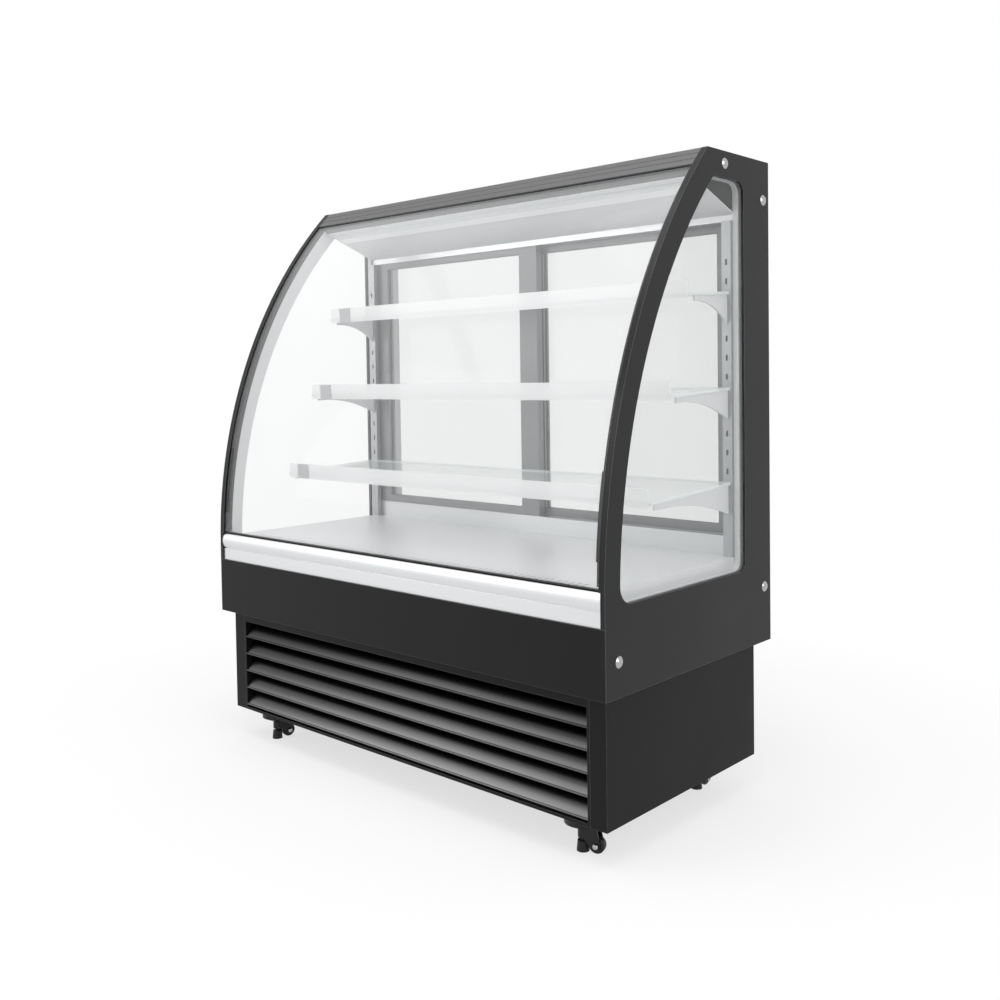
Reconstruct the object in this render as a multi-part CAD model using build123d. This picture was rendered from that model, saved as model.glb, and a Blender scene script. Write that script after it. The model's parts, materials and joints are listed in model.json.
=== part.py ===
"""Refrigerated bakery display case with a curved tilting front glass, on levelling casters.

Frame: origin on the floor under the middle of the case, +X to the right end as seen from
the customer side, +Y to the staff side, +Z up. All sizes are in millimetres.
"""
import os
from math import asin, atan2, cos, degrees, radians, sin

from build123d import *

# Overall sizes
case_length = 1200
case_depth = 600
case_height = 1350
caster_height = 75
base_height = 247

# Side panels, their window and the glass in it
panel_thick = 14
panel_lip = 4
curve_start = 489
crown_setback = 355.5
window_bottom = 487
window_top_margin = 55
window_sill_margin = 46.5
window_head_margin = 53.5
window_rear_margin = 106
window_corner = 20
window_front_corner = 35
pane_thick = 8
pane_overlap = 12
ring_overlap = 1
pane_gap = 0.5
liner_thick = 12
liner_margin = 17
bolt_head_radius = 11.5
bolt_head_height = 5
bolt_shank_radius = 4
bolt_top_drop = 25
bolt_header_offset = 6
bolt_rear_inset = 23
bolt_front_inset = 42
bolt_window_drop = 27
bolt_sill_drop = 46

# Base below the display
base_front_recess = 26
base_end_recess = 19
base_rear_recess = 40
sheet = 3
cover_flange = 38
rear_flange = 20
frame_tube = 30
frame_wall = 2.5
frame_setback = 9
grille_bar = 25
grille_side_bar = 6
grille_depth = 32
grille_foot = 6
blade_count = 5
blade_thick = 2
blade_reach = 28
blade_rise = 32
blade_lip = 2
blade_reveal = 38
blade_foot_gap = 5
vent_rows = 8
vent_pitch = 18
vent_height = 6
vent_width = 180
vent_gap = 40

# Insulated tank, fascia and bumper
tank_top = 485
tank_rear_recess = 14
skin = 2
foam_thick = 32
fascia_height = 130
bumper_height = 65
bumper_depth = 17
bumper_end_gap = 10
bumper_wall = 2.5
bumper_band = 28
bumper_groove = 3

# Curved front glass and the rail that it pivots on
glass_inset = 5
glass_thick = 6
glass_end_gap = 1
rail_radius = 3.3
rail_gap = 0.7
glass_seat = 1
pivot_radius = 2.5
pivot_reach = 8
pivot_end_gap = 1
running_gap = 0.05
glass_top_gap = 2
seal_gap = 0.3
edge_grip_low = 570
edge_grip_high = 730
edge_grip_width = 8
edge_grip_thick = 1.2
edge_grip_gap = 0.2

# Header, top and canopy
header_drop = 36
header_margin = 1
header_reach = 28
header_depth = 70
header_tail = 16
header_wall = 2.5
header_groove = 1.2
canopy_rear_drop = 114
lamp_setback = 14
lamp_width = 28
lamp_height = 12
lamp_wall = 2
lamp_end_gap = 34

# Rear doors and their tracks
track_setback = 100
track_wall = 3
door_thick = 20
door_side_gap = 1
door_floor_gap = 0.4
door_lift = 14
door_groove = 14
sill_rise = 42
opening_drop = 130
top_track_height = 26
top_track_groove = 18
stile_width = 56
door_rail = 30
door_glass_thick = 8
door_glass_grip = 6
door_end_gap = 2
pull_length = 110
pull_width = 26
pull_depth = 8
glide_length = 40
glide_height = 2

# Shelves
shelf_low_space = 159
shelf_high_space = 164
shelf_depths = (292, 213, 143)
shelf_tilt = 3
shelf_glass = 6
shelf_end_gap = 3
shelf_rear_gap = 1
standard_width = 22
standard_depth = 12
slot_pitch = 40
slot_height = 12
slot_width = 4.6
slot_depth = 8
bracket_thick = 4
bracket_rear_height = 62
bracket_tip_height = 12
hook_height = 10
hook_reach = 6
rail_height = 38
price_rail_thick = 3
price_rail_rise = 26
price_rail_lip = 12
price_rail_inset = 12
ticket_width = 42
ticket_thick = 1.5
ticket_offset = 36
ticket_margin = 1

# Deck
deck_rise = 28
deck_side_gap = 0.5
air_slot_width = 4
air_slot_length = 26
air_slot_pitch = 16
air_slot_setback = 26

# Cooling equipment
fin_pitch = 12
fin_thick = 1.2
coil_tube_radius = 5
coil_plate = 3
coil_tube_margin = 0.3
evaporator_left_inset = 194
evaporator_right_inset = 274
evaporator_setback = 303
evaporator_depth = 120
evaporator_height = 104
evaporator_tube_rows = 3
blower_radius = 32
blower_length = 560
blower_setback = 173
blower_height = 56
blower_blades = 12
blower_blade_width = 12
blower_blade_thick = 1.6
blower_end_gap = 4
bearing_plate = 4
shaft_radius = 4
condenser_right_inset = 321
condenser_length = 320
condenser_setback = 52
condenser_depth = 40
condenser_height = 204
condenser_tube_rows = 6
shroud_depth = 36
fan_radius = 80
fan_tip_gap = 6
fan_blades = 5
fan_hub_radius = 24
fan_hub_depth = 22
fan_blade_width = 36
fan_blade_root = 8
fan_blade_twist = 28
motor_bore_end = 1
fan_setback = 7
fan_motor_radius = 28
fan_motor_depth = 38
motor_bar = 24
compressor_inset = 251
compressor_setback = 314
compressor_radius = 75
compressor_height = 150
compressor_dome = 30
compressor_foot = 12
compressor_foot_reach = 67.5
suction_stub_rise = 75
discharge_stub_rise = 97.5
pipe_radius = 5
pipe_bend = 20
pipe_stub = 15
suction_offset = 45
liquid_offset = 30
liquid_setback = 72
condenser_inlet_rise = 131
condenser_outlet_rise = 42

# Rear controls and the power inlet
control_inset = 156
control_drop = 65
control_width = 132
control_height = 44
control_depth = 12
control_wall = 2
button_width = 14
button_height = 9
button_depth = 6
button_stand = 1.5
button_travel = 1.2
button_pitch = 22
button_gap = 0.4
rocker_width = 20
rocker_height = 13
rocker_stand = 1.5
rocker_pin_radius = 1.5
rocker_pin_depth = 4.3
rocker_pocket_gap = 1
rocker_swing = 8
display_width = 34
display_height = 18
display_recess = 1
display_inset = 8.5
gland_inset = 91
gland_rise = 55
gland_radius = 12
gland_bore = 5
gland_thread = 9
gland_length = 16
gland_nut = 5

# Levelling casters
caster_inset = 115
caster_front_setback = 52
caster_rear_setback = 80
caster_plate = 76
caster_plate_thick = 3
swivel_gap = 0.3
kingpin_radius = 8
swivel_radius = 36
swivel_head = 16
swivel_taper = 13
collar_radius = 10
collar_bottom = 26
wheel_radius = 16
wheel_width = 16
wheel_trail = 29
wheel_side_gap = 0.6
wheel_tread_round = 3
axle_radius = 4
ear_thick = 3
ear_radius = 8
ear_top_reach = 30
ear_root = 7
axle_head_radius = 6
axle_head = 2
foot_radius = 12.5
foot_height = 20
foot_neck_radius = 10.5
foot_rod_radius = 5
foot_rod_top = 66
caster_angles = {"front_right": 17, "front_left": 80, "rear_right": 90, "rear_left": 90}

# Places worked out from the sizes above
half_length = case_length / 2
front = -case_depth / 2
rear = case_depth / 2
base_bottom = caster_height
base_top = base_bottom + base_height
base_floor = base_bottom + sheet
base_half = half_length - base_end_recess
base_front = front + base_front_recess
base_rear = rear - base_rear_recess
panel_inner = half_length - panel_thick
liner_inner = panel_inner - liner_thick
rebate_depth = panel_thick - panel_lip
fascia_top = base_top + fascia_height
bumper_top = fascia_top + bumper_height
bumper_half = half_length - bumper_end_gap
tank_front = front + bumper_depth
tank_rear = rear - tank_rear_recess
tank_floor = base_top + skin + foam_thick + skin
tank_wall = skin + foam_thick + skin
deck_height = tank_top + deck_rise
track_front = rear - track_setback
crown_rise = case_height - curve_start
curve_radius = (crown_rise**2 + crown_setback**2) / (2 * crown_setback)
curve_y = front + curve_radius
window_top = case_height - window_top_margin
window_rear = rear - window_rear_margin
pivot_z = bumper_top + rail_gap + rail_radius
glass_half = panel_inner - glass_end_gap
liner_top = case_height - skin
liner_rear = rear - skin
canopy_rear_height = case_height - canopy_rear_drop
opening_bottom = deck_height + sill_rise
opening_top = case_height - opening_drop
groove_width = door_thick + 2 * door_side_gap
track_depth = 3 * track_wall + 2 * groove_width
standard_front = track_front - skin - standard_depth
shelf_half = liner_inner - shelf_end_gap
bracket_x = liner_inner - standard_width / 2
shelf_low = deck_height + shelf_low_space
shelf_high = canopy_rear_height - shelf_high_space
shelf_pitch = (shelf_high - shelf_low) / (len(shelf_depths) - 1)
shelf_heights = [shelf_low + i * shelf_pitch for i in range(len(shelf_depths))]
evaporator_left = evaporator_left_inset - liner_inner
evaporator_right = liner_inner - evaporator_right_inset
evaporator_front = tank_front + evaporator_setback
blower_y = tank_front + blower_setback
condenser_right = base_half - condenser_right_inset
condenser_left = condenser_right - condenser_length
condenser_front = base_front + condenser_setback
compressor_x = compressor_inset - base_half
compressor_y = base_front + compressor_setback
control_x = panel_inner - control_inset
control_z = tank_top - control_drop
gland_x = gland_inset - base_half
gland_z = base_bottom + gland_rise


def box_between(x0, x1, y0, y1, z0, z1):
    """A plain block between two corners."""
    block = Box(x1 - x0, y1 - y0, z1 - z0)
    return Pos((x0 + x1) / 2, (y0 + y1) / 2, (z0 + z1) / 2) * block


def along_x(face, x0, x1):
    """A profile drawn as (y, z), run along the length of the case."""
    return Pos(x0, 0, 0) * extrude(Plane.YZ * face, x1 - x0)


def rod_x(radius, x0, x1, y, z):
    """A round bar along the length of the case."""
    return Pos((x0 + x1) / 2, y, z) * Rot(0, 90, 0) * Cylinder(radius, x1 - x0)


def rod_y(radius, y0, y1, x, z):
    """A round bar from front to rear."""
    return Pos(x, (y0 + y1) / 2, z) * Rot(90, 0, 0) * Cylinder(radius, y1 - y0)


def rod_z(radius, z0, z1, x=0, y=0):
    """An upright round bar."""
    return Pos(x, y, (z0 + z1) / 2) * Cylinder(radius, z1 - z0)


def both_ends(shape):
    """The shape and its mirror image at the other end of the case."""
    return Compound(children=[shape, mirror(shape, about=Plane.YZ)])


def group(shapes):
    """Separate solids that share one node."""
    return Compound(children=list(shapes))


def curve_angle(margin, height):
    """Angle on the front curve, set in by a margin, where it reaches a height."""
    return asin((height - curve_start) / (curve_radius - margin))


def curve_point(margin, angle):
    """Point (y, z) on the front curve, set in by a margin."""
    radius = curve_radius - margin
    return (curve_y - radius * cos(angle), curve_start + radius * sin(angle))


def curve_arc(margin, angle_from, angle_to):
    """Part of the front curve, set in by a margin."""
    middle = (angle_from + angle_to) / 2
    return ThreePointArc(
        curve_point(margin, angle_from),
        curve_point(margin, middle),
        curve_point(margin, angle_to),
    )


def case_outline(margin, bottom, top, rear_y):
    """Side outline of the case, with its upright lower front and its curved upper front."""
    top_angle = curve_angle(margin, top)
    start = curve_point(margin, 0)
    crown = curve_point(margin, top_angle)
    foot = (start[0], bottom)
    return make_face([
        Line(foot, start),
        curve_arc(margin, 0, top_angle),
        Line(crown, (rear_y, top)),
        Line((rear_y, top), (rear_y, bottom)),
        Line((rear_y, bottom), foot),
    ])


def window_outline(grow):
    """Outline of the side window, made larger all round by a margin."""
    sill_margin = window_sill_margin - grow
    head_margin = window_head_margin - grow
    middle_margin = (3 * sill_margin + head_margin) / 4
    bottom = window_bottom - grow
    top = window_top + grow
    rear_y = window_rear + grow
    sill_angle = curve_angle(sill_margin, bottom)
    head_angle = curve_angle(head_margin, top)
    sill = curve_point(sill_margin, sill_angle)
    head = curve_point(head_margin, head_angle)
    face = make_face([
        ThreePointArc(sill, curve_point(middle_margin, (sill_angle + head_angle) / 2), head),
        Line(head, (rear_y, top)),
        Line((rear_y, top), (rear_y, bottom)),
        Line((rear_y, bottom), sill),
    ])
    corner = face.vertices().sort_by_distance(sill)[0]
    face = fillet(corner, window_front_corner + grow)
    for point in (head, (rear_y, top), (rear_y, bottom)):
        corner = face.vertices().sort_by_distance(point)[0]
        face = fillet(corner, window_corner + grow)
    return face


def curve_edge(margin, low, angle_top):
    """Edges along the front of the case, set in by a margin, from a height up to an angle."""
    if low < curve_start:
        start = curve_point(margin, 0)
        return [Line((start[0], low), start), curve_arc(margin, 0, angle_top)]
    return [curve_arc(margin, curve_angle(margin, low), angle_top)]


def curve_band(outer_margin, inner_margin, low, angle_top):
    """A strip that follows the front of the case, from a height up to an angle."""
    outer = curve_edge(outer_margin, low, angle_top)
    inner = curve_edge(inner_margin, low, angle_top)
    return make_face(outer + inner + [
        Line(outer[0] @ 0, inner[0] @ 0),
        Line(outer[-1] @ 1, inner[-1] @ 1),
    ])


# Header section: the glass stops under its lower face, which is square to the curve
header_angle = curve_angle(0, case_height - header_drop)
crown_angle = curve_angle(header_margin, case_height)
crown_y = curve_point(header_margin, crown_angle)[0]
header_rear = crown_y + header_depth
header_heel = curve_point(header_reach, header_angle)
glass_top_angle = header_angle - glass_top_gap / curve_radius

# The front glass turns about a line in the middle of its own thickness
glass_middle = glass_inset + glass_thick / 2
pivot_y = curve_point(glass_middle, curve_angle(glass_middle, pivot_z))[0]

# Bolt places (y, z), the upper pair in the liners and the lower pair in the tank walls
upper_bolts = (
    (header_rear - bolt_header_offset, case_height - bolt_top_drop),
    (rear - bolt_rear_inset, window_top - bolt_window_drop),
)
lower_bolts = (
    (tank_rear - bolt_head_radius, window_bottom - bolt_sill_drop),
    (front + bolt_front_inset, base_top + fascia_height / 2),
)


def bolt_shanks(places):
    """Shanks of the right-hand bolts, as solids and as the holes for them."""
    return [rod_x(bolt_shank_radius, liner_inner, half_length, y, z) for y, z in places]


def header_block():
    """Outer form of the header, without its hollow."""
    toe = curve_point(header_margin, header_angle)
    tail = (header_rear, case_height - header_tail)
    return make_face([
        curve_arc(header_margin, header_angle, crown_angle),
        Line((crown_y, case_height), (header_rear, case_height)),
        Line((header_rear, case_height), tail),
        Line(tail, header_heel),
        Line(header_heel, toe),
    ])


def make_side_panel():
    """Right side panel, with its window, glass rebate, bolt holes and pivot bore."""
    body = along_x(case_outline(0, base_top, case_height, rear), panel_inner, half_length)
    body -= box_between(panel_inner, half_length, front, front + skin, base_top, fascia_top)
    body -= box_between(panel_inner, bumper_half, front, tank_front, fascia_top, bumper_top)
    body -= along_x(window_outline(0), panel_inner, half_length)
    body -= along_x(window_outline(pane_overlap), panel_inner, panel_inner + rebate_depth)
    for shank in bolt_shanks(upper_bolts + lower_bolts):
        body -= shank
    bore = pivot_radius + running_gap
    bore_end = panel_inner + pivot_reach + pivot_end_gap
    return body - rod_x(bore, panel_inner, bore_end, pivot_y, pivot_z)


def make_side_glass():
    """Flat panes of both side windows."""
    face = window_outline(pane_overlap - pane_gap)
    return both_ends(along_x(face, panel_inner, panel_inner + pane_thick))


def make_side_liners():
    """Inner frames that hold the side panes and carry the shelf standards."""
    face = case_outline(liner_margin, tank_top, liner_top, liner_rear)
    liner = along_x(face, liner_inner, panel_inner)
    liner -= along_x(window_outline(0), liner_inner, panel_inner)
    liner -= along_x(header_block(), liner_inner, panel_inner)
    for shank in bolt_shanks(upper_bolts):
        liner -= shank
    return both_ends(liner)


def bolt_dome():
    """Domed head of a side bolt, standing on its flat face along +X."""
    ball_radius = (bolt_head_radius**2 + bolt_head_height**2) / (2 * bolt_head_height)
    ball_x = bolt_head_height - ball_radius
    half_angle = asin(bolt_head_radius / ball_radius) / 2
    crest = (ball_x + ball_radius * cos(half_angle), ball_radius * sin(half_angle))
    face = make_face([
        Line((0, 0), (0, bolt_head_radius)),
        ThreePointArc((0, bolt_head_radius), crest, (bolt_head_height, 0)),
        Line((bolt_head_height, 0), (0, 0)),
    ])
    return revolve(face, axis=Axis.X)


def make_side_bolts():
    """Dome-headed bolts that hold the side panels, four at each end."""
    shanks = bolt_shanks(upper_bolts + lower_bolts)
    bolts = [shank + Pos(half_length, y, z) * bolt_dome()
             for shank, (y, z) in zip(shanks, upper_bolts + lower_bolts)]
    return group(bolts + [mirror(bolt, about=Plane.YZ) for bolt in bolts])


def make_glass_seals():
    """Rubber seals: side gaskets, front glass edges, bumper wiper and header stop."""
    ring_face = window_outline(pane_overlap) - window_outline(ring_overlap)
    ring = along_x(ring_face, panel_inner + pane_thick, panel_inner + rebate_depth)
    seat = glass_inset + glass_thick + seal_gap
    low = pivot_z + rail_radius + seal_gap
    strip = along_x(curve_band(seat, liner_margin, low, header_angle), liner_inner, glass_half)
    wiper_top = bumper_top + rail_gap - seal_gap
    wiper = box_between(-glass_half, glass_half, pivot_y - rail_radius, pivot_y + rail_radius,
                        bumper_top, wiper_top)
    stop_angle = header_angle - (glass_top_gap - seal_gap) / curve_radius
    stop_face = make_face(Polyline(
        curve_point(glass_inset, header_angle),
        curve_point(glass_inset, stop_angle),
        curve_point(seat, stop_angle),
        curve_point(seat, header_angle),
        close=True,
    ))
    stop = along_x(stop_face, -glass_half, glass_half)
    pairs = []
    for solid in (ring, strip):
        pairs += [solid, mirror(solid, about=Plane.YZ)]
    return group(pairs + [wiper, stop])


def make_front_glass():
    """Curved front glass, from its rail up to the header."""
    inner_margin = glass_inset + glass_thick
    face = curve_band(glass_inset, inner_margin, pivot_z + glass_seat, glass_top_angle)
    return along_x(face, -glass_half, glass_half)


def make_glass_rail():
    """Bottom rail of the front glass, flat under the glass, with pivot pins and edge grips."""
    rail = rod_x(rail_radius, -glass_half, glass_half, pivot_y, pivot_z)
    rail -= box_between(-glass_half, glass_half, pivot_y - rail_radius, pivot_y + rail_radius,
                        pivot_z + glass_seat, pivot_z + rail_radius)
    for end in (-glass_half - pivot_reach, glass_half):
        rail += rod_x(pivot_radius, end, end + pivot_reach, pivot_y, pivot_z)
    grip_margin = glass_inset - edge_grip_gap
    grip_face = curve_band(grip_margin - edge_grip_thick, grip_margin, edge_grip_low,
                           curve_angle(grip_margin, edge_grip_high))
    grip = along_x(grip_face, glass_half - edge_grip_width, glass_half)
    return group([rail, grip, mirror(grip, about=Plane.YZ)])


def make_header():
    """Hollow header across the top front, with two fine grooves."""
    outer = header_block()
    inner = offset(outer, amount=-header_wall, kind=Kind.INTERSECTION)
    body = along_x(outer - inner, -panel_inner, panel_inner)
    for share in (1 / 3, 2 / 3):
        angle = header_angle + (crown_angle - header_angle) * share
        y, z = curve_point(header_margin, angle)
        body -= rod_x(header_groove, -panel_inner, panel_inner, y, z)
    return body


def make_top_panel():
    """Folded sheet over the top and down the upper rear."""
    low = opening_top + top_track_height
    panel = box_between(-panel_inner, panel_inner, header_rear, rear, liner_top, case_height)
    panel += box_between(-panel_inner, panel_inner, liner_rear, rear, low, case_height)
    panel += box_between(-liner_inner, liner_inner, track_front, liner_rear, low, low + skin)
    flange_low = case_height - header_tail
    return panel + box_between(-liner_inner, liner_inner, header_rear, header_rear + skin,
                               flange_low, liner_top)


def canopy_slope():
    """Slope of the canopy in degrees, falling towards the rear."""
    fall = canopy_rear_height - header_heel[1]
    return degrees(atan2(fall, track_front - header_heel[0]))


def make_canopy():
    """Sloping inner ceiling from the header back to the door track."""
    heel_y, heel_z = header_heel
    face = make_face(Polyline(
        (heel_y, heel_z),
        (track_front, canopy_rear_height),
        (track_front, canopy_rear_height - skin),
        (heel_y, heel_z - skin),
        close=True,
    ))
    return along_x(face, -liner_inner, liner_inner)


def lamp_frame():
    """Place of the lamp on the underside of the canopy."""
    drop = skin * cos(radians(canopy_slope()))
    heel_y, heel_z = header_heel
    rise = skin - drop
    return Pos(0, heel_y, heel_z - skin - rise) * Rot(canopy_slope(), 0, 0)


def make_lamp_housing():
    """Lamp channel under the canopy, open below."""
    half = liner_inner - lamp_end_gap
    end = lamp_setback + lamp_width
    body = box_between(-half, half, lamp_setback, end, -lamp_height, 0)
    body -= box_between(-half + lamp_wall, half - lamp_wall, lamp_setback + lamp_wall,
                        end - lamp_wall, -lamp_height, -lamp_wall)
    return lamp_frame() * body


def make_lamp_lens():
    """Milky cover that closes the lamp channel."""
    half = liner_inner - lamp_end_gap - lamp_wall
    return lamp_frame() * box_between(-half, half, lamp_setback + lamp_wall,
                                      lamp_setback + lamp_width - lamp_wall,
                                      -lamp_height, -lamp_height + lamp_wall)


def make_tank_shell():
    """Outer steel skin of the insulated tank."""
    shell = box_between(-panel_inner, panel_inner, tank_front, tank_rear, base_top, tank_top)
    shell -= box_between(-panel_inner + skin, panel_inner - skin, tank_front + skin,
                         tank_rear - skin, base_top + skin, tank_top)
    return cut_for_services(shell)


def make_tank_foam():
    """Foam between the two skins of the tank."""
    inset = skin + foam_thick
    foam = box_between(-panel_inner + skin, panel_inner - skin, tank_front + skin,
                       tank_rear - skin, base_top + skin, tank_top)
    foam -= box_between(-panel_inner + inset, panel_inner - inset, tank_front + inset,
                        tank_rear - inset, base_top + inset, tank_top)
    return cut_for_services(foam)


def make_tank_liner():
    """Inner skin of the tank."""
    inset = skin + foam_thick
    liner = box_between(-panel_inner + inset, panel_inner - inset, tank_front + inset,
                        tank_rear - inset, base_top + inset, tank_top)
    liner -= box_between(-panel_inner + tank_wall, panel_inner - tank_wall,
                         tank_front + tank_wall, tank_rear - tank_wall, tank_floor, tank_top)
    return cut_for_services(liner)


def cut_for_services(shape):
    """Holes for the lower side bolts and for the two pipes through the tank floor."""
    for shank in bolt_shanks(lower_bolts):
        shape -= shank
        shape -= mirror(shank, about=Plane.YZ)
    for x, y in pipe_holes:
        shape -= rod_z(pipe_radius, base_top, tank_floor, x, y)
    return shape


def make_fascia():
    """Painted front sheet below the bumper, with returns back to the tank."""
    fascia = box_between(-half_length, half_length, front, front + skin, base_top, fascia_top)
    fascia += box_between(-panel_inner, panel_inner, front, tank_front, base_top,
                          base_top + skin)
    return fascia + box_between(-panel_inner, panel_inner, front, tank_front,
                                fascia_top - skin, fascia_top)


def bumper_outline():
    """Bumper section: flat lower band, fine groove and rounded upper part."""
    band_y = front + bumper_groove
    band_top = fascia_top + bumper_band
    nose_low = band_top + bumper_groove
    nose_top = bumper_top - bumper_groove
    nose_mid = (nose_low + nose_top) / 2
    return make_face([
        Line((tank_front, fascia_top), (band_y, fascia_top)),
        Line((band_y, fascia_top), (band_y, band_top)),
        Line((band_y, band_top), (band_y + bumper_groove, band_top)),
        Line((band_y + bumper_groove, band_top), (band_y + bumper_groove, nose_low)),
        Line((band_y + bumper_groove, nose_low), (band_y, nose_low)),
        ThreePointArc((band_y, nose_low), (front, nose_mid), (band_y, nose_top)),
        Line((band_y, nose_top), (band_y + bumper_groove, bumper_top)),
        Line((band_y + bumper_groove, bumper_top), (tank_front, bumper_top)),
        Line((tank_front, bumper_top), (tank_front, fascia_top)),
    ])


def make_bumper():
    """Aluminium bumper along the front, hollow like its extrusion."""
    body = along_x(bumper_outline(), -bumper_half, bumper_half)
    hollow_front = front + bumper_groove * 2 + bumper_wall
    return body - box_between(-bumper_half, bumper_half, hollow_front,
                              tank_front - bumper_wall, fascia_top + bumper_wall,
                              bumper_top - bumper_wall)


def make_deck():
    """Display deck: a tray on the tank rim, with an air grille along its front."""
    half = liner_inner - deck_side_gap
    deck = box_between(-half, half, tank_front, track_front, tank_top, deck_height)
    deck -= box_between(-half + skin, half - skin, tank_front + skin, track_front - skin,
                        tank_top, deck_height - skin)
    slot_front = tank_front + air_slot_setback
    slot_count = int((2 * half - 4 * air_slot_setback) / air_slot_pitch)
    slot = Box(air_slot_width, air_slot_length, skin)
    slot_y = slot_front + air_slot_length / 2
    row = [Pos((i - (slot_count - 1) / 2) * air_slot_pitch, slot_y, deck_height - skin / 2) * slot
           for i in range(slot_count)]
    return deck - group(row)


def track_grooves(z0, z1):
    """The two door grooves, the inner one first."""
    first = track_front + track_wall
    second = first + groove_width + track_wall
    return [box_between(-liner_inner, liner_inner, y, y + groove_width, z0, z1)
            for y in (first, second)]


def make_door_tracks():
    """Rear sill with the bottom grooves, and the top track."""
    sill = box_between(-liner_inner, liner_inner, track_front, tank_rear, tank_top,
                       opening_bottom)
    groove_floor = opening_bottom - door_groove
    sill -= box_between(-liner_inner, liner_inner, track_front + track_wall,
                        tank_rear - track_wall, tank_top + track_wall,
                        groove_floor - track_wall)
    for groove in track_grooves(groove_floor, opening_bottom):
        sill -= groove
    top = box_between(-liner_inner, liner_inner, track_front, track_front + track_depth,
                      opening_top, opening_top + top_track_height)
    for groove in track_grooves(opening_top, opening_top + top_track_groove):
        top -= groove
    return group([sill, top])


door_inner_y = track_front + track_wall + door_side_gap
door_outer_y = door_inner_y + groove_width + track_wall
door_width = liner_inner - door_end_gap + stile_width / 2
door_bottom = opening_bottom - door_groove + door_floor_gap
door_top = opening_top + door_lift
door_left_x = -liner_inner + door_end_gap
door_right_x = liner_inner - door_end_gap - door_width


def make_door_glass(x0, y0):
    """Pane of one sliding door, held in the frame all round."""
    mid = y0 + door_thick / 2
    return box_between(x0 + stile_width - door_glass_grip,
                       x0 + door_width - stile_width + door_glass_grip,
                       mid - door_glass_thick / 2, mid + door_glass_thick / 2,
                       door_bottom + glide_height + door_rail - door_glass_grip,
                       door_top - door_rail + door_glass_grip)


def make_door_frame(x0, y0, pull_x):
    """Frame of one sliding door: two stiles, two rails and two glides."""
    y1 = y0 + door_thick
    x1 = x0 + door_width
    low = door_bottom + glide_height
    pane = make_door_glass(x0, y0)
    pull_z = (low + door_top) / 2
    pull = box_between(pull_x - pull_width / 2, pull_x + pull_width / 2, y1 - pull_depth, y1,
                       pull_z - pull_length / 2, pull_z + pull_length / 2)
    members = [
        box_between(x0, x0 + stile_width, y0, y1, low, door_top),
        box_between(x1 - stile_width, x1, y0, y1, low, door_top),
        box_between(x0 + stile_width, x1 - stile_width, y0, y1, low, low + door_rail),
        box_between(x0 + stile_width, x1 - stile_width, y0, y1, door_top - door_rail, door_top),
    ]
    members = [member - pane - pull for member in members]
    glides = [box_between(x, x + glide_length, y0, y1, door_bottom, low)
              for x in (x0, x1 - glide_length)]
    return group(members + glides)


def slot_heights():
    """Heights of the slots in a shelf standard, in step with the bracket hooks."""
    lowest = shelf_heights[0] - shelf_glass - slot_height - slot_pitch
    count = int((canopy_rear_height - slot_pitch - lowest) / slot_pitch)
    return [lowest + i * slot_pitch for i in range(count)]


def make_shelf_standards():
    """Slotted uprights at both ends, in front of the door tracks."""
    top = opening_top
    post = box_between(liner_inner - standard_width, liner_inner, standard_front,
                       standard_front + standard_depth, deck_height, top)
    for z in slot_heights():
        post -= box_between(bracket_x - slot_width / 2, bracket_x + slot_width / 2,
                            standard_front, standard_front + slot_depth,
                            z - slot_height / 2, z + slot_height / 2)
    return both_ends(post)


def make_bracket(height, depth):
    """Cantilever bracket at the right end of one shelf, hooked into its standard."""
    slope = radians(shelf_tilt)
    rear_top = height - shelf_glass / cos(slope)
    reach = depth - price_rail_lip - bracket_thick
    tip_y = standard_front - reach * cos(slope)
    tip_top = rear_top - reach * sin(slope)
    tip_low = tip_top - bracket_tip_height
    rear_low = rear_top - bracket_rear_height
    bend = (standard_front - reach / 3, (tip_low * 2 + rear_low) / 3)
    face = make_face([
        Line((standard_front, rear_top), (tip_y, tip_top)),
        Line((tip_y, tip_top), (tip_y, tip_low)),
        ThreePointArc((tip_y, tip_low), bend, (standard_front, rear_low)),
        Line((standard_front, rear_low), (standard_front, rear_top)),
    ])
    x0 = bracket_x - bracket_thick / 2
    x1 = bracket_x + bracket_thick / 2
    bracket = along_x(face, x0, x1)
    upper = height - shelf_glass - slot_height
    for z in (upper, upper - slot_pitch):
        bracket += box_between(x0, x1, standard_front, standard_front + hook_reach,
                               z - hook_height / 2, z + hook_height / 2)
    return bracket


def make_shelf_brackets():
    """All six brackets."""
    brackets = [make_bracket(height, depth) for height, depth in zip(shelf_heights, shelf_depths)]
    return group(brackets + [mirror(bracket, about=Plane.YZ) for bracket in brackets])


def shelf_frame(height):
    """Place of a shelf: its rear top line, tilted down to the front."""
    return Pos(0, standard_front, height) * Rot(shelf_tilt, 0, 0)


def make_shelf_glass(height, depth):
    """One glass shelf on its brackets."""
    pane = box_between(-shelf_half, shelf_half, -depth, -shelf_rear_gap, -shelf_glass, 0)
    return shelf_frame(height) * pane


def make_price_rail(height, depth):
    """Clear price rail clipped over the front edge of one shelf."""
    half = liner_inner - price_rail_inset
    low = price_rail_rise - rail_height
    rail = box_between(-half, half, -depth - price_rail_thick, -depth, low, price_rail_rise)
    rail += box_between(-half, half, -depth, -depth + price_rail_lip, -shelf_glass - skin,
                        -shelf_glass)
    return shelf_frame(height) * rail


def make_ticket(height, depth):
    """Blank price ticket near the left end of one rail."""
    left = -liner_inner + price_rail_inset + ticket_offset
    face_y = -depth - price_rail_thick
    return shelf_frame(height) * box_between(left, left + ticket_width, face_y - ticket_thick,
                                             face_y,
                                             price_rail_rise - rail_height + ticket_margin,
                                             price_rail_rise - ticket_margin)


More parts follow.
